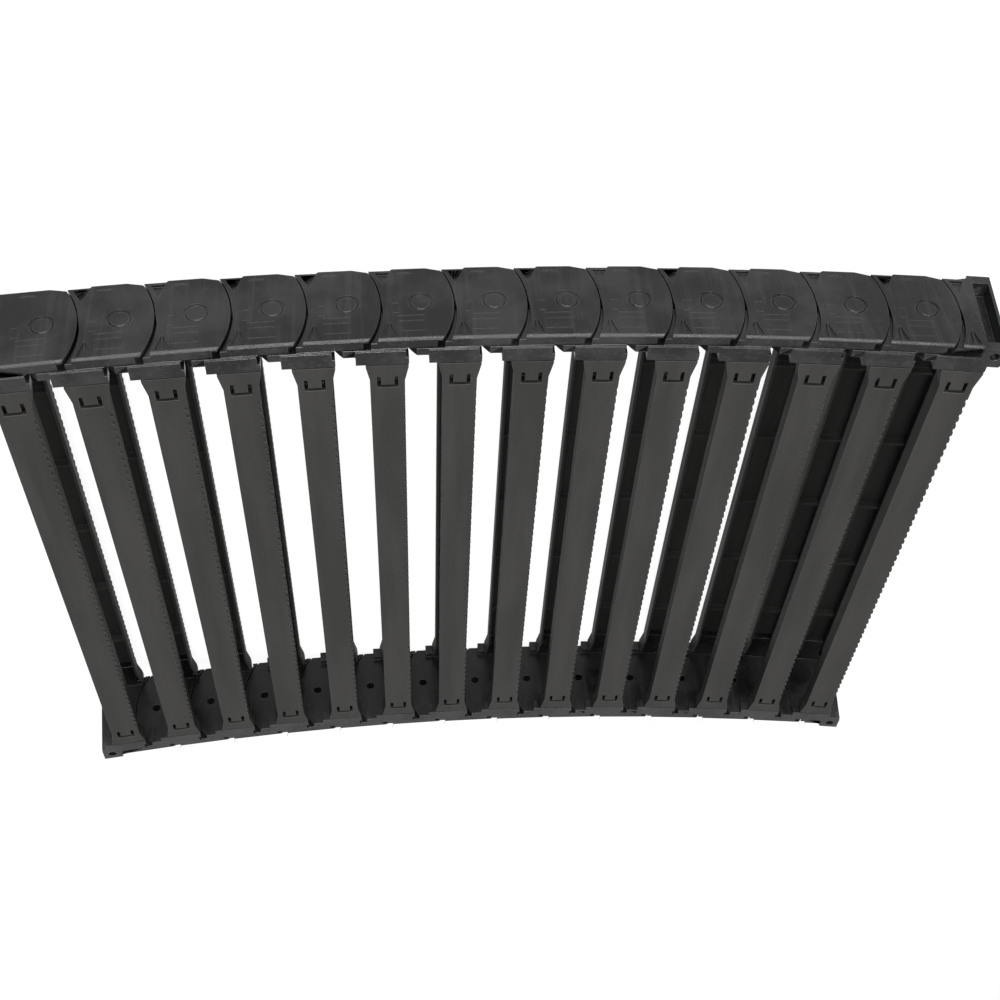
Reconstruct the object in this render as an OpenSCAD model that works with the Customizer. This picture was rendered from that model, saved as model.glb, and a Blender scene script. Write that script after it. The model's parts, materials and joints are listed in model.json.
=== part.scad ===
// Cable drag chain: offset side plates that hinge on moulded pins, joined across by clip-on crossbars,
// with a screw-down bracket at each end. It lies on its outer side, bent slightly against its stops.

/* [Chain] */
// Number of links, counting the bracket at each end
link_count = 14; // [6:1:15]
// Distance between neighbouring hinge axes
pitch = 50; // [48:0.5:56]
// Bend that each joint keeps against its straightening stop, in degrees
rest_bend = 1.06; // [0.5:0.02:1.5]
// Radius of the tightest bend, measured to the hinge axes
bend_radius = 300; // [280:5:400]
// Width over the outer faces of the side plates
chain_width = 500; // [300:5:600]
// Height over the crossbars
chain_height = 75; // [73:0.5:82]

/* [Side plates] */
// Thickness of a side plate over both of its layers
plate_t = 15; // [14:0.5:18]
// Thickness of a side plate's outer layer
outer_t = 8.5; // [7.5:0.1:9.5]
// Running gap between the two layers that meet at a joint
layer_gap = 0.3; // [0.2:0.05:0.5]
// Gap between plate edges that swing past each other
edge_gap = 0.8; // [0.6:0.1:1.2]
// Step from the crossbars' outer surface down to the plate's edge
edge_step = 1; // [0.8:0.1:1.5]
// Bevel along the outer face's upper and lower edges
edge_bevel = 1.6; // [0.8:0.1:2.5]
// Reach of the outer layer's nose past its hinge axis
nose_reach = 22.5; // [21:0.5:23]
// Radius of the nose's front
nose_r = 75; // [70:1:85]
// Radius of the nose's two corners
nose_corner_r = 6; // [4:0.5:8]
// Reach of the inner layer's tail past its pin
tail_reach = 18; // [17.6:0.1:18.5]
// Radius of the tail's end
tail_r = 55; // [50:1:60]

/* [Hinge] */
// Radius of the moulded hinge pin
pin_r = 7.2; // [6.5:0.1:8]
// Radial clearance of the pin in its bore
pin_play = 0.06; // [0.04:0.01:0.09]
// Depth of the pin's end below the outer face
pin_sink = 0.4; // [0.3:0.1:0.8]
// Bevel round the pin's end and round the mouth of its bore
pin_bevel = 0.8; // [0.4:0.1:1]
// Radius of the core hole in the pin's inner end
pin_core_r = 3.4; // [2.5:0.1:4]
// Inner radius of a stop block
stop_inner_r = 12; // [11.5:0.1:12.5]
// Outer radius of a stop block
stop_outer_r = 16.6; // [15.5:0.1:16.9]
// Angle that a stop block spans, in degrees
stop_angle = 28; // [20:1:40]
// Height of a stop block
stop_h = 2.5; // [2:0.1:3.5]
// Clearance round a stop block in its pocket
stop_play = 0.3; // [0.2:0.05:0.4]
// Angle left free before a stop block meets its pocket's end, in degrees
stop_slack = 0.4; // [0.3:0.1:0.8]

/* [Crossbars] */
// Width of a crossbar along its length
bar_w = 23.5; // [21:0.5:25]
// Width of a crossbar's flared ends
bar_end_w = 29; // [27:0.5:29.5]
// Length of a flared end before it tapers
bar_end_l = 2; // [1:0.1:4]
// Length of the taper behind a flared end
bar_taper_l = 13; // [8:0.5:14]
// Height of a crossbar
bar_h = 12; // [11:0.5:14]
// Thickness of a crossbar's outer plate
bar_t = 3; // [2.5:0.1:4]
// Thickness of a crossbar's side walls
bar_wall = 2.2; // [1.6:0.1:2.6]
// Gap between a crossbar's end and the pad on the side plate
bar_gap = 0.8; // [0.5:0.1:1]
// Step of the rack of notches that separators lock into
rack_step = 7.5; // [6:0.5:12]
// Length of one notch of the rack
rack_notch = 4; // [2:0.1:5]
// Depth of a notch below the crossbar's outer surface
rack_depth = 2; // [1:0.1:2.4]
// Depth of a notch in from the crossbar's side
rack_side = 1.4; // [0.8:0.1:1.6]
// Distance between the cross ribs inside a crossbar
rib_step = 80; // [60:5:120]
// Thickness of a cross rib inside a crossbar
rib_t = 2; // [1.5:0.1:3]

/* [Crossbar seats] */
// Reach of the pad from the link's middle towards its nose
pad_nose_x = 14.8; // [14:0.1:15.5]
// Reach of the pad from the link's middle towards its tail
pad_tail_x = 21; // [15:0.5:22]
// Distance from the plate's outer face to the pad's near edge
pad_from = 9.4; // [9.2:0.1:11]
// Distance from the plate's outer face to the pad's far edge
pad_to = 21.5; // [20:0.5:23]
// Height of a pad
pad_h = 9; // [8:0.5:10]
// Length of the lug that carries a crossbar's end
lug_l = 25; // [23.5:0.5:30]
// Height of a lug
lug_h = 6; // [5:0.5:8]
// Clearance of a lug between the crossbar's side walls
lug_play = 0.25; // [0.15:0.05:0.4]

/* [Crossbar latch] */
// Distance from the plate's outer face to the middle of a latch
latch_from = 38; // [36:0.5:39.5]
// Width of a latch over its slot
latch_w = 14.4; // [12:0.2:15]
// Length of a latch over its slot
latch_l = 10.2; // [8:0.2:11]
// Width of the slot that frees the latch's tongue
latch_slot = 2.6; // [1.5:0.1:3]
// Depth that the tongue's hook reaches into its lug
hook_h = 1.4; // [1:0.1:2]
// Length of the tongue's hook
hook_l = 2.4; // [1.5:0.1:3]
// Clearance round the hook in its recess
hook_play = 0.3; // [0.2:0.05:0.5]

/* [Face relief] */
// Depth of the gusset recesses by the hollow edge of the outer face
gusset_depth = 1.2; // [0.6:0.1:2]
// Width of a gusset recess along the plate's edge
gusset_w = 10; // [7:0.5:11]
// Length of a gusset recess across the plate
gusset_l = 13; // [9:0.5:15]
// Thickness of the rib that stands in a gusset recess
gusset_rib = 1; // [0.6:0.1:1.4]

/* [End brackets] */
// Radius of a fixing screw's hole
screw_r = 3.3; // [2.7:0.1:3.6]
// Distance from a bracket's end to its screw holes
screw_inset = 8; // [7.5:0.1:9]
// Distance from a bracket's outer face to its screw holes
screw_from = 7; // [6.5:0.1:8]
// Width of the pocket that the screws are reached through
pocket_w = 11.4; // [10:0.2:12]
// Wall left behind the pocket
pocket_back = 3; // [2.5:0.1:4]
// Thickness of the flanges above and below the pocket
flange_t = 6.5; // [5:0.5:8]
// Length and width of the boss round a screw hole
boss_w = 16.5; // [16:0.1:17]
// Bevel of a boss's corners
boss_bevel = 3; // [2:0.1:4]

/* [Hidden] */
$fn = 96;
eps = 0.01;
half_h = chain_height / 2;
edge_h = half_h - edge_step;
inner_from = outer_t + layer_gap;
bend_max = 2 * asin(pitch / 2 / bend_radius);
nose_back = nose_r - nose_reach;
tail_back = tail_r - tail_reach;
// Angles at which neighbouring plates clear each other, with a little turn to spare at each stop
clear_turns = [rest_bend - stop_slack, bend_max + stop_slack];
outer_reach = pitch / 2 + nose_reach;
tail_end = pitch / 2 + tail_reach;
bar_l = chain_width - 2 * (pad_to + bar_gap);
flare_l = bar_end_l + bar_taper_l;
latch_y = chain_width / 2 - latch_from;
hook_w = latch_w - 2 * latch_slot;
rack_l = 2 * (chain_width / 2 - pad_to - lug_l) - rack_step;
rack_count = floor(rack_l / rack_step);
rib_count = floor(rack_l / rib_step);

SIDES = ["front", "back"];
LEVELS = ["top", "bottom"];

function body_name(i) =
    i == 1 ? "anchor" : i == link_count ? "carrier" : str("link_", i < 10 ? "0" : "", i);
function plate_name(i, side) = str(body_name(i), "_side_", side);
function bar_name(i, level) = str(body_name(i), "_bar_", level);

// The links' tilt, hinge axes and middles, in the plane of the plates
function tilt(i) = (i - (link_count + 1) / 2) * rest_bend;
function along(a) = [cos(a), sin(a)];
function turned(p, a) = [p.x * cos(a) - p.y * sin(a), p.x * sin(a) + p.y * cos(a)];
function hinge_at(k) = k == 0 ? [0, 0] : hinge_at(k - 1) + pitch * along(tilt(k));
function middle(i) = (hinge_at(i - 1) + hinge_at(i)) / 2;
function foot(i, x) = (middle(i) + turned([x, -half_h], tilt(i))).y;
centre_x = hinge_at(link_count).x / 2;
ground_z = min([for (i = [1:link_count], x = [-bar_end_w / 2, -pad_nose_x, pad_tail_x]) foot(i, x)]);

// Places a link's pieces where the link lies in the chain
module station(i) {
    translate([middle(i).x - centre_x, 0, middle(i).y - ground_z])
        rotate([0, -tilt(i), 0])
            children();
}

// Turns a plate built inwards from y = 0 into the front or the back side of the chain
module on_side(side) {
    mirror([0, side == "back" ? 1 : 0, 0])
        translate([0, -chain_width / 2, 0])
            children();
}

// Extrudes an outline in x and z from one depth in the plate to another
module slab(from, to) {
    translate([0, to, 0])
        rotate([90, 0, 0])
            linear_extrude(to - from)
                children();
}

// Repeats a shape above and below the hinge plane
module above_and_below() {
    for (m = [0, 1])
        mirror([0, 0, m])
            children();
}

// ---------- Outlines of the side plates ----------

// The strip between the plate's upper and lower edges
module strip(from, to) {
    translate([from, -edge_h])
        square([to - from, 2 * edge_h]);
}

// The nose's round front about the hinge axis on the left, with its two corners rounded
module nose() {
    front_x = -pitch / 2 + nose_back;
    corner_z = edge_h - nose_corner_r;
    corner_x = front_x - sqrt(pow(nose_r - nose_corner_r, 2) - pow(corner_z, 2));
    out = [corner_x - front_x, corner_z] / (nose_r - nose_corner_r);
    difference() {
        translate([front_x, 0])
            circle(nose_r, $fn = 240);
        for (m = [0, 1])
            mirror([0, m])
                difference() {
                    polygon([
                        [corner_x, corner_z],
                        [corner_x, corner_z] + 2 * nose_corner_r * out,
                        [corner_x + 2 * nose_corner_r * out.x, edge_h + nose_corner_r],
                        [corner_x, edge_h + nose_corner_r]
                    ]);
                    translate([corner_x, corner_z])
                        circle(nose_corner_r);
                }
    }
}

// The room that the next link's nose sweeps about the hinge axis on the right
module nose_room() {
    for (turn = clear_turns)
        translate([pitch / 2, 0] + nose_back * along(turn))
            circle(nose_r + edge_gap, $fn = 240);
}

// The tail's round end about the pin on the right
module tail() {
    translate([pitch / 2 - tail_back, 0])
        circle(tail_r, $fn = 240);
}

// The room that the previous link's tail sweeps about the hinge axis on the left
module tail_room() {
    for (turn = clear_turns)
        translate([-pitch / 2, 0] - tail_back * along(-turn))
            circle(tail_r + edge_gap, $fn = 240);
}

// A ring sector about the origin, from one angle to another
module sector(r0, r1, from, to) {
    difference() {
        intersection() {
            circle(r1);
            polygon([[0, 0], 2 * r1 * along(from), 2 * r1 * along((from + to) / 2), 2 * r1 * along(to)]);
        }
        circle(r0);
    }
}

module outer_outline(start, end, has_nose, has_tail) {
    difference() {
        intersection() {
            strip(start, end);
            if (has_nose)
                nose();
            else
                strip(start, end);
        }
        if (has_tail)
            nose_room();
    }
}

module inner_outline(start, end, has_nose, has_tail) {
    difference() {
        intersection() {
            strip(start, end);
            if (has_tail)
                tail();
            else
                strip(start, end);
        }
        if (has_nose)
            tail_room();
    }
}

// ---------- Features of the side plates ----------

// Bevels the outer face's upper and lower edges
module bevelled_room(from, to) {
    translate([from, 0, 0])
        rotate([90, 0, 90])
            linear_extrude(to - from)
                polygon([
                    [0, edge_bevel - edge_h],
                    [edge_bevel, -edge_h],
                    [plate_t, -edge_h],
                    [plate_t, edge_h],
                    [edge_bevel, edge_h],
                    [0, edge_h - edge_bevel]
                ]);
}

// The pads for the crossbars' ends and the lugs that carry them
module seats() {
    tongue_l = latch_l - 2 * latch_slot;
    above_and_below()
        difference() {
            union() {
                translate([-pad_nose_x, pad_from, half_h - pad_h])
                    cube([pad_nose_x + pad_tail_x, pad_to - pad_from, pad_h]);
                translate([lug_play + bar_wall - bar_w / 2, pad_to - eps, half_h - bar_t - lug_h])
                    cube([bar_w - 2 * (bar_wall + lug_play), lug_l + eps, lug_h]);
            }
            translate([-hook_w / 2 - hook_play, latch_from - tongue_l / 2 - hook_play, 0])
                translate([0, 0, half_h - bar_t - hook_h - hook_play])
                    cube([hook_w + 2 * hook_play, tongue_l + 2 * hook_play, lug_h]);
        }
}

module hinge_bore() {
    translate([-pitch / 2, 0, 0]) {
        rotate([-90, 0, 0])
            translate([0, 0, -eps])
                cylinder(h = inner_from + eps, r = pin_r + pin_play);
        rotate([-90, 0, 0])
            translate([0, 0, -eps])
                cylinder(h = pin_bevel + eps, r1 = pin_r + pin_play + pin_bevel, r2 = pin_r + pin_play);
    }
}

module hinge_pin() {
    translate([pitch / 2, 0, 0])
        rotate([-90, 0, 0]) {
            translate([0, 0, pin_sink + pin_bevel])
                cylinder(h = inner_from - pin_sink - pin_bevel + eps, r = pin_r);
            translate([0, 0, pin_sink])
                cylinder(h = pin_bevel, r1 = pin_r - pin_bevel, r2 = pin_r);
        }
}

module pin_core() {
    translate([pitch / 2, outer_t / 2, 0])
        rotate([-90, 0, 0])
            cylinder(h = plate_t, r = pin_core_r);
}

// Two blocks on the tail that stop the joint at both ends of its travel
module stop_blocks() {
    for (side = [0, 180])
        slab(inner_from - stop_h, inner_from + eps)
            translate([pitch / 2, 0])
                sector(stop_inner_r, stop_outer_r, side - stop_angle / 2, side + stop_angle / 2);
}

// The pockets in the nose that the previous link's stop blocks travel in
module stop_pockets() {
    for (side = [0, 180])
        slab(inner_from - stop_h - stop_play, inner_from)
            translate([-pitch / 2, 0])
                sector(
                    stop_inner_r - stop_play,
                    stop_outer_r + stop_play,
                    side - stop_angle / 2 - bend_max - stop_slack,
                    side + stop_angle / 2 - rest_bend + stop_slack
                );
}

// Triangular recesses beside the hollow edge, each with a rib down its middle
module gussets() {
    edge_x = pitch / 2 + nose_back - sqrt(pow(nose_r + edge_gap, 2) - pow(edge_h - gusset_l, 2));
    tip = [edge_x - gusset_w / 2, edge_h - gusset_l];
    above_and_below()
        slab(-eps, gusset_depth)
            difference() {
                polygon([
                    tip,
                    [tip.x + gusset_w / 2, edge_h - 2 * edge_bevel],
                    [tip.x - gusset_w / 2, edge_h - 2 * edge_bevel]
                ]);
                translate([tip.x - gusset_rib / 2, tip.y])
                    square([gusset_rib, gusset_l]);
            }
}

// Bosses round a bracket's screw holes, at the end on the given side
module screw_bosses(dir) {
    flat = boss_w - boss_bevel;
    above_and_below()
        translate([dir * pitch / 2, 0, edge_h - flange_t])
            linear_extrude(flange_t + edge_step)
                scale([-dir, 1])
                    polygon([
                        [0, 0],
                        [boss_w, 0],
                        [boss_w, flat],
                        [flat, boss_w],
                        [boss_bevel, boss_w],
                        [0, flat]
                    ]);
}

module screw_cuts(dir) {
    x = dir * (pitch / 2 - screw_inset);
    translate([x, screw_from, -half_h - eps])
        cylinder(h = chain_height + 2 * eps, r = screw_r);
    translate([x - pocket_w / 2, -eps, flange_t - edge_h])
        cube([pocket_w, plate_t - pocket_back + eps, 2 * (edge_h - flange_t)]);
}

// One side plate: an outer layer with the nose and bore, and an inner layer with the pin,
// or a straight end with a screw pocket where the chain ends
module side_plate(has_nose, has_tail) {
    outer_start = has_nose ? -outer_reach : -pitch / 2;
    inner_end = has_tail ? tail_end : pitch / 2;
    end_dir = has_nose ? 1 : -1;
    difference() {
        union() {
            intersection() {
                union() {
                    slab(0, outer_t)
                        outer_outline(outer_start, pitch / 2, has_nose, has_tail);
                    slab(inner_from, plate_t)
                        inner_outline(-pitch / 2, inner_end, has_nose, has_tail);
                    slab(outer_t - eps, inner_from + eps)
                        intersection() {
                            outer_outline(outer_start, pitch / 2, has_nose, has_tail);
                            inner_outline(-pitch / 2, inner_end, has_nose, has_tail);
                        }
                }
                bevelled_room(outer_start, inner_end);
            }
            seats();
            if (has_tail) {
                hinge_pin();
                stop_blocks();
            }
            if (!(has_nose && has_tail))
                screw_bosses(end_dir);
        }
        if (has_nose) {
            hinge_bore();
            stop_pockets();
            slab(inner_from - eps, plate_t + layer_gap)
                tail_room();
        }
        if (has_tail) {
            pin_core();
            gussets();
        }
        if (!(has_nose && has_tail))
            screw_cuts(end_dir);
    }
}

// ---------- Crossbars ----------

// A crossbar's outline in plan, drawn in by a wall's thickness for its hollow
module bar_outline(inset) {
    end_x = bar_end_w / 2 - inset;
    mid_x = bar_w / 2 - inset;
    end_y = bar_l / 2;
    polygon([
        [end_x, end_y], [end_x, end_y - bar_end_l], [mid_x, end_y - flare_l],
        [mid_x, flare_l - end_y], [end_x, bar_end_l - end_y], [end_x, -end_y],
        [-end_x, -end_y], [-end_x, bar_end_l - end_y], [-mid_x, flare_l - end_y],
        [-mid_x, end_y - flare_l], [-end_x, end_y - bar_end_l], [-end_x, end_y]
    ]);
}

// The notches along one upper edge of a crossbar
module rack() {
    translate([-bar_w / 2 - eps, 0, 0])
        rotate([90, 0, 90])
            linear_extrude(rack_side + eps)
                for (j = [0:rack_count])
                    translate([(j - rack_count / 2) * rack_step - rack_notch / 2, -rack_depth])
                        square([rack_notch, rack_depth + eps]);
}

module ribs() {
    for (j = [0:rib_count])
        translate([-bar_w / 2 + eps, (j - rib_count / 2) * rib_step - rib_t / 2, -bar_h + bar_t])
            cube([bar_w - 2 * eps, rib_t, bar_h - bar_t - eps]);
}

// The slot round a latch's tongue, which is free at the end towards the back
module latch_slot_cut() {
    translate([-latch_w / 2, -latch_l / 2, -bar_t - eps])
        difference() {
            cube([latch_w, latch_l, bar_t + 2 * eps]);
            translate([latch_slot, -eps, -eps])
                cube([latch_w - 2 * latch_slot, latch_l - latch_slot + eps, bar_t + 4 * eps]);
        }
}

// The hook under the free end of a latch's tongue
module latch_hook() {
    translate([-hook_w / 2, latch_l / 2 - latch_slot - hook_l, -bar_t - hook_h])
        cube([hook_w, hook_l, hook_h + eps]);
}

module at_latches() {
    for (y = [-latch_y, latch_y])
        translate([0, y, 0])
            children();
}

module crossbar() {
    translate([0, 0, half_h])
        difference() {
            union() {
                difference() {
                    translate([0, 0, -bar_h])
                        linear_extrude(bar_h)
                            bar_outline(0);
                    translate([0, 0, -bar_h - eps])
                        linear_extrude(bar_h - bar_t + eps)
                            bar_outline(bar_wall);
                }
                ribs();
                at_latches()
                    latch_hook();
            }
            rack();
            at_latches()
                latch_slot_cut();
        }
}

// ---------- Pieces ----------

module piece_plate(i, side) {
    color([0.09, 0.09, 0.1])
        station(i)
            on_side(side)
                side_plate(has_nose = i > 1, has_tail = i < link_count);
}

module piece_bar(i, level) {
    color([0.2, 0.2, 0.2])
        station(i)
            rotate([level == "bottom" ? 180 : 0, 0, 0])
                crossbar();
}

for (i = [1:link_count]) {
    for (side = SIDES)
        piece_plate(i, side);
    for (level = LEVELS)
        piece_bar(i, level);
}
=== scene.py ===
"""Cable drag chain: hinged side plates joined across by clip-on crossbars, with a bracket at each end."""

import json
import math

import bmesh
import bpy
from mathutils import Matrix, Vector


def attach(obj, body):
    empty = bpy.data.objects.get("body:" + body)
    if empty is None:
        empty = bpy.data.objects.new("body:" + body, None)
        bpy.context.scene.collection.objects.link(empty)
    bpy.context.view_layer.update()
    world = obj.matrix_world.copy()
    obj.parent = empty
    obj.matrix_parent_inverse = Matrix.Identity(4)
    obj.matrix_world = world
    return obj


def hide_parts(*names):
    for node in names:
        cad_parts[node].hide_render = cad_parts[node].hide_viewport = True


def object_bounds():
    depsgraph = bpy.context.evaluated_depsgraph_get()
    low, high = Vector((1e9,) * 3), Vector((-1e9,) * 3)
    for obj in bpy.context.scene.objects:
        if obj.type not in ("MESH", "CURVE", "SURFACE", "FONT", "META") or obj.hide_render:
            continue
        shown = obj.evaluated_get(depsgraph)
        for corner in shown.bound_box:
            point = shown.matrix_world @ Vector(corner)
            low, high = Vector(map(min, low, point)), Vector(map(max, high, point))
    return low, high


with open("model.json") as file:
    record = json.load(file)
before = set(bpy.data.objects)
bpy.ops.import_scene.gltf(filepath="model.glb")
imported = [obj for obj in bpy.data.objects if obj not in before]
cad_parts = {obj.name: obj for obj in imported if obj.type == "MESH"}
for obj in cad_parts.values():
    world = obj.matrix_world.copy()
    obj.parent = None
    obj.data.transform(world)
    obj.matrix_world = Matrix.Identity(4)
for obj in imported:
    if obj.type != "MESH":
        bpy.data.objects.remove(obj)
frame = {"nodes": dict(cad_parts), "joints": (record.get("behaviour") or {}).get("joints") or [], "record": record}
cad_box = [[float(c) for c in corner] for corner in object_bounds()]
LINKS = frame["record"]["behaviour"]["bodies"]

# ---------------------------------------------------------------- Camera
# A studio camera in front of the near row of side plates, looking down on the open, hollow side
# of the bend.
camera_data = bpy.data.cameras.new("studio_camera")
camera_data.lens = 48.24
camera_data.sensor_width = 36.0
camera = bpy.data.objects.new("studio_camera", camera_data)
camera.location = (0.07129, -0.86625, 0.72244)
camera.rotation_euler = (math.radians(-50.5196), math.radians(-4.1543), math.radians(-177.6301))
bpy.context.scene.collection.objects.link(camera)
bpy.context.scene.camera = camera

# ---------------------------------------------------------------- Studio
# A white sweep that stays white to the eye and in reflections and takes the chain's soft shadow,
# a narrow soft box overhead, a low wide one in front for the side plates and a strip for their edges.
FLOOR_HALF = 6.0
FLOOR_DROP = 0.0005
SWEEP_WHITE = 0.12
SWEEP_GLOW = 0.94
ROOM_LIGHT = 0.015

bpy.context.scene.view_settings.view_transform = "Standard"

floor_mesh = bpy.data.meshes.new("studio_floor")
floor_corners = [(x * FLOOR_HALF, y * FLOOR_HALF, 0) for x, y in ((-1, -1), (1, -1), (1, 1), (-1, 1))]
floor_mesh.from_pydata(floor_corners, [], [(0, 1, 2, 3)])
floor = bpy.data.objects.new("studio_floor", floor_mesh)
floor.location.z = -FLOOR_DROP
bpy.context.scene.collection.objects.link(floor)


def shown_rays(tree, shown, hidden):
    """A strength for rays that show the backdrop, direct or in gloss or glass, and another for the rest."""
    light_path = tree.nodes.new("ShaderNodeLightPath")
    seen = light_path.outputs["Is Camera Ray"]
    for ray in ("Is Glossy Ray", "Is Transmission Ray"):
        either = tree.nodes.new("ShaderNodeMath")
        either.operation = "MAXIMUM"
        tree.links.new(seen, either.inputs[0])
        tree.links.new(light_path.outputs[ray], either.inputs[1])
        seen = either.outputs[0]
    lift = tree.nodes.new("ShaderNodeMath")
    lift.operation = "MULTIPLY_ADD"
    lift.inputs[1].default_value = shown
    lift.inputs[2].default_value = hidden
    tree.links.new(seen, lift.inputs[0])
    return lift.outputs[0]


sweep = bpy.data.materials.new("white_sweep")
sweep.use_nodes = True
tree = sweep.node_tree
tree.nodes.clear()
output = tree.nodes.new("ShaderNodeOutputMaterial")
paper = tree.nodes.new("ShaderNodeBsdfDiffuse")
paper.inputs["Color"].default_value = (SWEEP_WHITE, SWEEP_WHITE, SWEEP_WHITE, 1)
glow = tree.nodes.new("ShaderNodeEmission")
joined = tree.nodes.new("ShaderNodeAddShader")
tree.links.new(shown_rays(tree, SWEEP_GLOW, 0.0), glow.inputs["Strength"])
tree.links.new(paper.outputs[0], joined.inputs[0])
tree.links.new(glow.outputs[0], joined.inputs[1])
tree.links.new(joined.outputs[0], output.inputs["Surface"])
floor_mesh.materials.append(sweep)

world = bpy.data.worlds.new("studio_world")
bpy.context.scene.world = world
world.use_nodes = True
room = world.node_tree
room.nodes["Background"].inputs["Color"].default_value = (1, 1, 1, 1)
room.links.new(shown_rays(room, 1.0 - ROOM_LIGHT, ROOM_LIGHT), room.nodes["Background"].inputs["Strength"])


def soft_box(name, place, aim, size, power):
    """A rectangular soft light at a place, turned to face an aim point."""
    data = bpy.data.lights.new(name, "AREA")
    data.shape = "RECTANGLE"
    data.size, data.size_y = size
    data.energy = power
    lamp = bpy.data.objects.new(name, data)
    lamp.location = place
    lamp.rotation_euler = (Vector(aim) - Vector(place)).to_track_quat("-Z", "Y").to_euler()
    bpy.context.scene.collection.objects.link(lamp)


soft_box("overhead_box", (0.0, 0.1, 2.5), (0, 0.0, 0.05), (0.35, 0.9), 42)
soft_box("front_box", (0.0, -2.2, 0.35), (0, -0.25, 0.04), (1.8, 0.4), 34)
soft_box("edge_strip", (0.0, -1.5, 1.42), (0, -0.25, 0.08), (1.7, 0.14), 26)

# ---------------------------------------------------------------- Links
# Every link hangs between two hinge axes. Its middle and its tilt follow from them, and each piece
# carries its points' places in its own link, so that mould marks sit alike on every link.
HALF_WIDTH = cad_box[1][1]
hinges = [Vector(joint["pos_m"]) for joint in frame["joints"]]
steps = [after - before for before, after in zip(hinges, hinges[1:])]
tilts = [math.atan2(step.z, step.x) for step in steps]
turn = tilts[1] - tilts[0]
tilts = [tilts[0] - turn] + tilts + [tilts[-1] + turn]
pitch = steps[0].length
link_places = {}
for number, (link, tilt) in enumerate(zip(LINKS, tilts)):
    along = Vector((math.cos(tilt), 0, math.sin(tilt)))
    up = Vector((-math.sin(tilt), 0, math.cos(tilt)))
    if number:
        middle = hinges[number - 1] + along * pitch / 2
    else:
        middle = hinges[0] - along * pitch / 2
    link_places[link] = (middle, along, up)


def note_places(mesh, link):
    """Stores each point's place in its link: along it, in from the outer face, and up from its hinges."""
    middle, along, up = link_places[link]
    places = mesh.attributes.new("link_place", "FLOAT_VECTOR", "POINT")
    for vertex, place in zip(mesh.vertices, places.data):
        off = vertex.co - middle
        place.vector = (off.dot(along), HALF_WIDTH - abs(vertex.co.y), off.dot(up))


# ---------------------------------------------------------------- Moulded plastic
# Glass-filled polyamide from a steel mould: faint flow mottling, a fine spark-eroded grain, and
# scuffs along the way that the chain is dragged and wiped.
class Plastic:
    """A moulded plastic's node tree, with short ways to add its patterns."""

    def __init__(self, name, roughness, specular):
        self.material = bpy.data.materials.new(name)
        self.material.use_nodes = True
        self.tree = self.material.node_tree
        self.shader = self.tree.nodes["Principled BSDF"]
        self.shader.inputs["Roughness"].default_value = roughness
        self.shader.inputs["Specular IOR Level"].default_value = specular
        self.place = self.tree.nodes.new("ShaderNodeTexCoord").outputs["Object"]
        attribute = self.tree.nodes.new("ShaderNodeAttribute")
        attribute.attribute_name = "link_place"
        self.link_place = attribute.outputs["Vector"]

    def link(self, source, target):
        self.tree.links.new(source, target)

    def noise(self, scale, detail=3.0, stretch=(1, 1, 1)):
        """Noise of a scale in waves per metre, drawn out along an axis where its stretch is small."""
        mapping = self.tree.nodes.new("ShaderNodeMapping")
        mapping.inputs["Scale"].default_value = stretch
        self.link(self.place, mapping.inputs["Vector"])
        node = self.tree.nodes.new("ShaderNodeTexNoise")
        node.inputs["Scale"].default_value = scale
        node.inputs["Detail"].default_value = detail
        self.link(mapping.outputs["Vector"], node.inputs["Vector"])
        return node.outputs["Fac"]

    def level(self, value, low, high, to_low=0.0, to_high=1.0):
        """Maps a value's range onto another, smoothly and within its ends."""
        node = self.tree.nodes.new("ShaderNodeMapRange")
        node.interpolation_type = "SMOOTHSTEP"
        for socket, number in zip(("From Min", "From Max", "To Min", "To Max"), (low, high, to_low, to_high)):
            node.inputs[socket].default_value = number
        self.link(value, node.inputs["Value"])
        return node.outputs["Result"]

    def math(self, operation, first, second=None):
        node = self.tree.nodes.new("ShaderNodeMath")
        node.operation = operation
        for socket, value in zip(node.inputs, (first, second)):
            if value is None:
                continue
            if isinstance(value, (int, float)):
                socket.default_value = value
            else:
                self.link(value, socket)
        return node.outputs[0]

    def blend(self, factor, first, second):
        """A colour between two colours by a factor."""
        node = self.tree.nodes.new("ShaderNodeMix")
        node.data_type = "RGBA"
        self.link(factor, node.inputs["Factor"])
        node.inputs["A"].default_value = (*first, 1)
        node.inputs["B"].default_value = (*second, 1)
        return node.outputs["Result"]

    def grain(self, height, strength, distance):
        """Gives the surface a bump from a height."""
        bump = self.tree.nodes.new("ShaderNodeBump")
        bump.inputs["Strength"].default_value = strength
        bump.inputs["Distance"].default_value = distance
        self.link(height, bump.inputs["Height"])
        self.link(bump.outputs["Normal"], self.shader.inputs["Normal"])


# ---------------------------------------------------------------- Side plates
# Offset side plates in satin black: each has an outer layer with the nose and an inner layer with
# the tail and pin. Wiping leaves upright streaks, and the rounded edges are paler: polish where
# links rub, and a painted highlight along every edge.
EDGE_ROUND = 0.0003
EDGE_ANGLE = math.radians(28)
MERGE = 1e-6
CARVED_MERGE = 2e-5
FLAT = math.radians(0.3)
ARC_STEPS = 14

# Marks from the mould on the outer face, each by its middle and half its size along and up the link.
MOULD_LINES = {
    "lower_parting": (-0.0275, -0.0225, 0.00025, 0.0115),
    "upper_parting": (-0.0275, 0.0225, 0.00025, 0.0105),
    "insert_bar": (-0.0175, 0.0185, 0.0085, 0.0003),
    "foot_upper": (-0.0150, -0.0288, 0.0055, 0.0004),
    "foot_lower": (-0.0150, -0.0300, 0.0040, 0.0003),
}
MOULD_INSERTS = {
    "large_insert": (-0.0175, 0.0205, 0.0090, 0.0075),
    "small_insert": (-0.0075, 0.0055, 0.0024, 0.0048),
}


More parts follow.
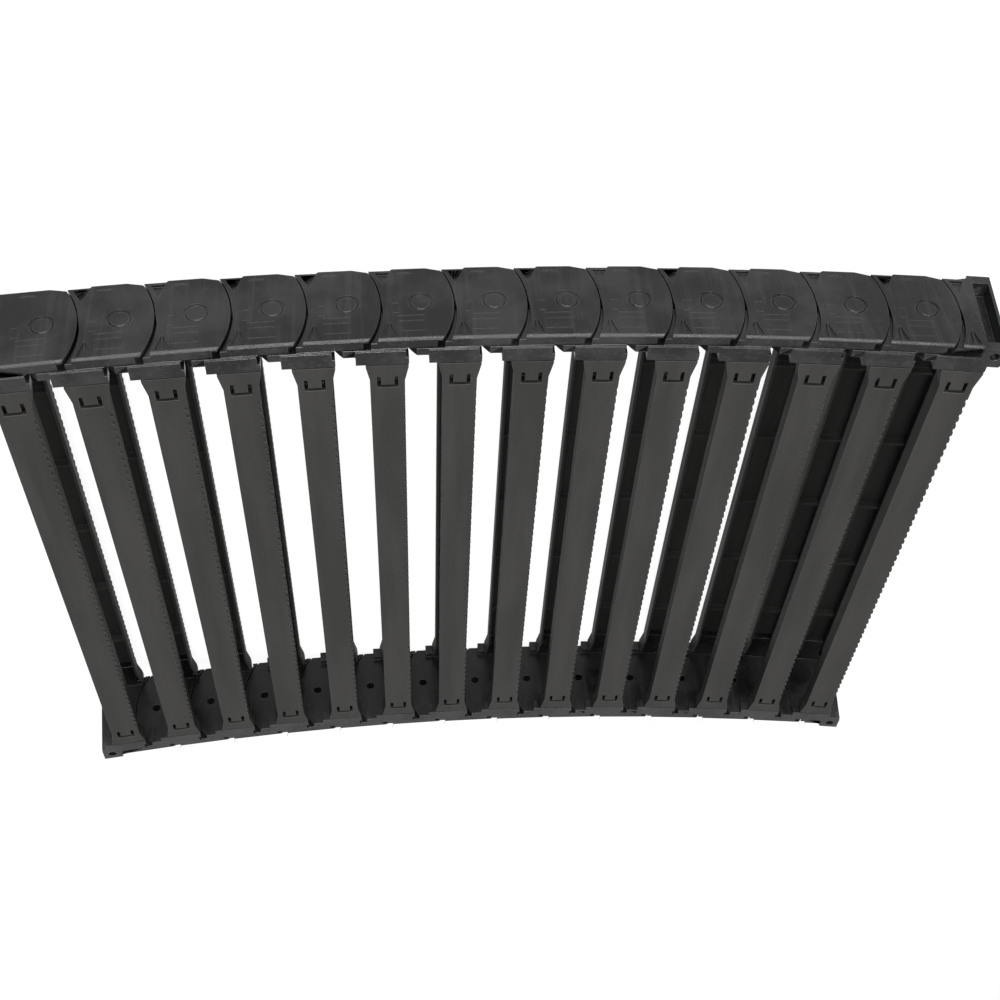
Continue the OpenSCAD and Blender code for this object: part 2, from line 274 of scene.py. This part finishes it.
def plate_plastic(name, dark, pale, roughness):
    """Satin black plastic between two greys, with streaks and mould marks on the outer face."""
    plastic = Plastic(name, roughness, 0.25)
    cloud = plastic.level(plastic.noise(26, 5), 0.38, 0.66)
    streak = plastic.level(plastic.noise(230, 3, (1, 1, 0.05)), 0.5, 0.72)
    scuff = plastic.level(plastic.noise(420, 4, (1, 1, 0.25)), 0.6, 0.74)
    tone = plastic.math("ADD", plastic.math("MULTIPLY", cloud, 0.55), plastic.math("MULTIPLY", streak, 0.3))
    tone = plastic.math("ADD", tone, plastic.math("MULTIPLY", scuff, 0.35))
    plastic.link(plastic.blend(tone, dark, pale), plastic.shader.inputs["Base Color"])
    clouded = plastic.level(cloud, 0, 1, roughness - 0.04, roughness + 0.05)
    wear = plastic.math("ADD", plastic.math("MULTIPLY", streak, 0.09), clouded)
    plastic.link(wear, plastic.shader.inputs["Roughness"])

    split = plastic.tree.nodes.new("ShaderNodeSeparateXYZ")
    plastic.link(plastic.link_place, split.inputs[0])
    x, depth, z = split.outputs

    def beside(value, centre, half, soft=0.0003):
        """One where a value lies within half a width of a centre, falling softly to nothing."""
        off = plastic.math("ABSOLUTE", plastic.math("SUBTRACT", value, centre))
        return plastic.level(off, half, half + soft, 1.0, 0.0)

    def patch(x_mid, z_mid, x_half, z_half):
        """One inside a rectangle on the outer face."""
        return plastic.math("MULTIPLY", beside(x, x_mid, x_half), beside(z, z_mid, z_half))

    def outline(x_mid, z_mid, x_half, z_half, line=0.00035):
        """The engraved border of a rectangular mould insert."""
        inner = patch(x_mid, z_mid, x_half - line, z_half - line)
        return plastic.math("SUBTRACT", patch(x_mid, z_mid, x_half, z_half), inner)

    marks = [patch(*place) for place in MOULD_LINES.values()]
    marks += [outline(*place) for place in MOULD_INSERTS.values()]
    engraved = marks[0]
    for mark in marks[1:]:
        engraved = plastic.math("MAXIMUM", engraved, mark)
    engraved = plastic.math("MULTIPLY", engraved, plastic.level(depth, 0.0001, 0.0003, 1.0, 0.0))
    ripple = plastic.math("MULTIPLY", plastic.noise(240, 2, (1, 1, 0.3)), 0.35)
    ripple = plastic.math("ADD", ripple, plastic.math("MULTIPLY", plastic.noise(38, 1), 2.4))
    fine = plastic.math("MULTIPLY", plastic.noise(2600, 2), 0.12)
    height = plastic.math("SUBTRACT", plastic.math("ADD", ripple, fine), engraved)
    plastic.grain(height, 0.55, 0.0003)
    return plastic.material


plate_face = plate_plastic("plate_plastic", (0.006, 0.0062, 0.007), (0.036, 0.0363, 0.037), 0.27)
# The second grade goes on the rounded edges: paler greys for polish where links rub, and for a painted highlight.
plate_wear_and_highlight_edge = plate_plastic("plate_wear_and_painted_highlight", (0.030, 0.030, 0.031), (0.055, 0.055, 0.056), 0.24)


def prism(outline, near, far):
    """A closed solid from an outline along and up the link, between two depths in from the outer face."""
    return [(x, near, z) for x, z in outline] + [(x, far, z) for x, z in outline]


def in_link(points, link, back):
    """A prism as an object, put where the link and its front or back side lie."""
    middle, along, up = link_places[link]
    side = 1 if back else -1
    solid = bmesh.new()
    corners = [
        solid.verts.new(middle + along * x + up * z + Vector((0, (HALF_WIDTH - y) * side, 0)))
        for x, y, z in points
    ]
    count = len(corners) // 2
    solid.faces.new(corners[:count])
    solid.faces.new(corners[count:])
    for i in range(count):
        j = (i + 1) % count
        solid.faces.new((corners[i], corners[j], corners[count + j], corners[count + i]))
    bmesh.ops.recalc_face_normals(solid, faces=solid.faces)
    mesh = bpy.data.meshes.new("cut")
    solid.to_mesh(mesh)
    solid.free()
    cutter = bpy.data.objects.new("cut", mesh)
    bpy.context.scene.collection.objects.link(cutter)
    return cutter


def arc(centre, radius, low, high):
    """Points on the nose side of a circle, from one height to another."""
    heights = [low + (high - low) * i / ARC_STEPS for i in range(ARC_STEPS + 1)]
    return [(centre[0] - math.sqrt(radius**2 - (z - centre[1]) ** 2), z) for z in heights]


def tidied(mesh, merge):
    """Merges a mesh's doubles and its flat faces, so that its edges can be rounded."""
    solid = bmesh.new()
    solid.from_mesh(mesh)
    bmesh.ops.remove_doubles(solid, verts=solid.verts, dist=merge)
    bmesh.ops.dissolve_degenerate(solid, edges=solid.edges, dist=merge)
    bmesh.ops.dissolve_limit(solid, angle_limit=FLAT, verts=solid.verts, edges=solid.edges)
    for each in solid.faces:
        each.material_index = 0
        each.smooth = False
    solid.to_mesh(mesh)
    solid.free()


def baked(piece):
    """Turns a piece and its modifiers into a plain mesh."""
    depsgraph = bpy.context.evaluated_depsgraph_get()
    finished = bpy.data.meshes.new_from_object(piece.evaluated_get(depsgraph))
    piece.modifiers.clear()
    piece.data = finished
    finished.name = piece.name


def moulded(node, link, face, edge, width, added=(), cuts=()):
    """A merged copy of a moulded piece with its sharp edges slightly rounded, standing for its CAD node."""
    mesh = frame["nodes"][node].data.copy()
    mesh.materials.clear()
    mesh.materials.append(face)
    mesh.materials.append(edge)
    tidied(mesh, MERGE)
    piece = bpy.data.objects.new(node + "_moulded", mesh)
    bpy.context.scene.collection.objects.link(piece)
    for operation, prisms in (("UNION", added), ("DIFFERENCE", cuts)):
        for points in prisms:
            tool = in_link(points, link, node.endswith("_back"))
            carve = piece.modifiers.new("carve", "BOOLEAN")
            carve.operation = operation
            carve.solver = "MANIFOLD"
            carve.object = tool
            baked(piece)
            bpy.data.objects.remove(tool)
    if added or cuts:
        tidied(piece.data, CARVED_MERGE)
    rounding = piece.modifiers.new("edge_round", "BEVEL")
    rounding.width = width
    rounding.segments = 2
    rounding.limit_method = "ANGLE"
    rounding.angle_limit = EDGE_ANGLE
    rounding.use_clamp_overlap = False
    # The rounded edges take the piece's second, paler material: partly wear, partly painted highlight.
    rounding.material = 1
    baked(piece)
    note_places(piece.data, link)
    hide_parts(node)
    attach(piece, link)
    return piece


# The outer layer's edges are stepped back from the pads, lower still at the nose and the tail, and
# the nose has a thin lip that slides over a ledge beside the previous link's hollow edge. Depths
# count in from the outer face, and a cut starts a little outside it.
OUTSIDE = 0.001
EDGE = 0.0365
STEP = 0.0008
LOWERED = EDGE - STEP
PAST_EDGE = 0.039
EDGE_BEVEL = 0.0015
LAYER = 0.00865
BEHIND = 0.0095
PAST_NOSE = 0.05
BRACKET_END = 0.017

NOSE_R = 0.075
NOSE_BACK = NOSE_R - 0.0225
HOLLOW_R = NOSE_R + 0.0008
LEAST_TURN = math.radians(0.66)
MOST_TURN = math.radians(9.96)

LEDGE_DEPTH = 0.0034
LEDGE_FOOT = 0.0060
LEDGE_INSET = 0.0005
LIP_DEPTH = 0.0031
LIP_BACK = 0.0091
LIP_FOOT = -0.004
LIP_TOP = 0.038
PAST_LIP = -0.052

PAST_HEEL = -0.04
TAIL_HEEL = (-0.008, -0.0053, 0.026)
TAIL_HEEL_RISE = 0.0037
NOSE_HEEL = (-0.025, -0.048)
NOSE_HEEL_RISE = 0.0066

LUG_TOP = 0.0345
PIT_HALF = 0.0075
PIT_DROP = 0.0045
PIT_OVER = 0.0002
PIT_NEAR = 0.0326
PIT_FAR = 0.0434

FILL_DEPTH = 0.0020
FILL_POINT = 0.0225
FILL_TOP = 0.0340
FILL_OVERLAP = 0.00002
UPPER_FILL = [(-0.0052, FILL_TOP), (-0.0052, 0.0320), (-0.0008, FILL_POINT)]
LOWER_FILL = [
    (-0.0052, -0.0342),
    (0.0061, -0.0342),
    (0.0061, -0.0320),
    (0.0014, -FILL_POINT),
    (-0.0008, -FILL_POINT),
    (-0.0052, -0.0320),
]
UPPER_RECESSES = (
    [(-0.0076, 0.0326), (-0.0032, 0.0326), (-0.0032, 0.0197)],
    [(-0.0020, 0.0326), (0.0024, 0.0326), (-0.0020, 0.0197)],
)
UPPER_RECESS_DEPTH = 0.0014
LOWER_RECESS = [(-0.0048, -0.0308), (0.0050, -0.0308), (0.0001, -0.0185)]
LOWER_RECESS_DEPTH = 0.0022

PAD_CORNER = ((-0.0155, 0.0325), (-0.0129, 0.0325), (-0.0129, 0.038), (-0.0155, 0.038))
PAD_CORNER_NEAR = 0.0089
PAD_CORNER_FAR = 0.0153
MOUTH_R = 0.0087
MOUTH_DEPTH = 0.0011
MOUTH_SIDES = 64


def nose_centre(end, turned):
    """The centre of the nose's arc when it has turned about the hinge at an end of the link."""
    return (end * pitch / 2 + NOSE_BACK * math.cos(turned), NOSE_BACK * math.sin(turned))


def edge_step(side, near_x, far_x):
    """The bevelled step along the outer layer's upper or lower edge."""
    low = side * LOWERED
    past = side * PAST_EDGE
    slope = side * (LOWERED - EDGE_BEVEL - OUTSIDE)
    profile = [(-OUTSIDE, slope), (EDGE_BEVEL, low), (LAYER, low), (LAYER, past), (-OUTSIDE, past)]
    return [(x, y, z) for x in (near_x, far_x) for y, z in profile]


def latch_pit(side):
    """The pit in a lug, under a crossbar's latch."""
    low, high = sorted((side * (LUG_TOP - PIT_DROP), side * (LUG_TOP + PIT_OVER)))
    corners = [(-PIT_HALF, low), (PIT_HALF, low), (PIT_HALF, high), (-PIT_HALF, high)]
    return prism(corners, PIT_NEAR, PIT_FAR)


def tail_heel():
    """The lower edge's second step, at the tail."""
    start, foot, end = TAIL_HEEL
    rise = TAIL_HEEL_RISE - EDGE
    corners = [(start, -LOWERED), (foot, rise), (end, rise), (end, PAST_HEEL), (start, PAST_HEEL)]
    return prism(corners, -OUTSIDE, LAYER)


def nose_heel():
    """The lower edge's slope up to the nose."""
    start, end = NOSE_HEEL
    rise = -LOWERED + NOSE_HEEL_RISE
    corners = [(start, -LOWERED), (end, rise), (end, PAST_HEEL), (start, PAST_HEEL)]
    return prism(corners, -OUTSIDE, LAYER)


def ledge():
    """The ledge beside the hollow edge, under the next link's lip."""
    inner = arc(nose_centre(1, MOST_TURN), HOLLOW_R + LEDGE_INSET, LEDGE_FOOT, LOWERED)
    outer = arc(nose_centre(1, LEAST_TURN), HOLLOW_R, LEDGE_FOOT, LOWERED)
    return prism(inner + outer[::-1], LEDGE_DEPTH, BEHIND)


def recess_fills():
    """Fills of the solid's own recesses, so that the new ones can lie further in."""
    brink = arc(nose_centre(1, MOST_TURN), HOLLOW_R + FILL_OVERLAP, FILL_POINT, FILL_TOP)
    return [prism(UPPER_FILL + brink, 0.0, FILL_DEPTH), prism(LOWER_FILL, 0.0, FILL_DEPTH)]


def recesses():
    """The pointed recesses beside the hollow edge: two above with a rib between them, one below."""
    upper = [prism(corners, -OUTSIDE, UPPER_RECESS_DEPTH) for corners in UPPER_RECESSES]
    return upper + [prism(LOWER_RECESS, -OUTSIDE, LOWER_RECESS_DEPTH)]


def pad_corner(side):
    """Room for the neighbour at the pad's thin corner."""
    return prism([(x, side * z) for x, z in PAD_CORNER], PAD_CORNER_NEAR, PAD_CORNER_FAR)


def pin_mouth():
    """The wider mouth of the bore round the pin."""
    turns = [2 * math.pi * i / MOUTH_SIDES for i in range(MOUTH_SIDES)]
    corners = [(MOUTH_R * math.cos(a) - pitch / 2, MOUTH_R * math.sin(a)) for a in turns]
    return prism(corners, -OUTSIDE, MOUTH_DEPTH)


def lip_relief():
    """The hollow behind the nose's upper half that leaves a thin lip."""
    rim = arc(nose_centre(-1, LEAST_TURN - MOST_TURN), NOSE_R, LIP_FOOT, LIP_TOP)
    return prism(rim + [(PAST_LIP, LIP_TOP), (PAST_LIP, LIP_FOOT)], LIP_DEPTH, LIP_BACK)


first, last = list(LINKS)[0], list(LINKS)[-1]
for link, nodes in LINKS.items():
    near_x = -pitch / 2 + BRACKET_END if link == first else -PAST_NOSE
    far_x = pitch / 2 - BRACKET_END if link == last else pitch / 2
    added = []
    cuts = []
    for side in (-1, 1):
        cuts += [edge_step(side, near_x, far_x), latch_pit(side)]
    if link != last:
        added += [ledge(), *recess_fills()]
        cuts += [tail_heel(), *recesses()]
    if link != first:
        cuts += [nose_heel(), pad_corner(-1), pad_corner(1), pin_mouth(), lip_relief()]
    for node in nodes:
        if "_side_" in node:
            moulded(node, link, plate_face, plate_wear_and_highlight_edge, EDGE_ROUND, added, cuts)

# ---------------------------------------------------------------- Crossbars
# Clip-on crossbars in a drier, charcoal grade of the same plastic: matt, with a fine grain that the
# light rakes across, and paler rounded edges: rubbed by hoses and hands, and a painted highlight.
BAR_ROUND = 0.0003


def bar_plastic(name, dark, pale, roughness):
    """Matt charcoal plastic between two greys, drawn out along the bar."""
    plastic = Plastic(name, roughness, 0.08)
    flow = plastic.level(plastic.noise(60, 4, (1, 0.12, 1)), 0.3, 0.7)
    speck = plastic.level(plastic.noise(900, 2), 0.45, 0.7)
    tone = plastic.math("ADD", plastic.math("MULTIPLY", flow, 0.7), plastic.math("MULTIPLY", speck, 0.3))
    plastic.link(plastic.blend(tone, dark, pale), plastic.shader.inputs["Base Color"])
    plastic.link(plastic.level(flow, 0, 1, roughness - 0.05, roughness + 0.05), plastic.shader.inputs["Roughness"])
    plastic.grain(plastic.math("ADD", plastic.noise(1800, 2), plastic.math("MULTIPLY", flow, 0.6)), 0.35, 0.0002)
    return plastic.material


bar_face = bar_plastic("bar_plastic", (0.030, 0.0295, 0.0285), (0.050, 0.049, 0.047), 0.58)
# The second grade goes on the rounded edges: paler greys for rubbing, and for a painted highlight.
bar_wear_and_highlight_edge = bar_plastic("bar_wear_and_painted_highlight", (0.050, 0.049, 0.047), (0.078, 0.076, 0.073), 0.5)

for link, nodes in LINKS.items():
    for node in nodes:
        if "_bar_" in node:
            moulded(node, link, bar_face, bar_wear_and_highlight_edge, BAR_ROUND)
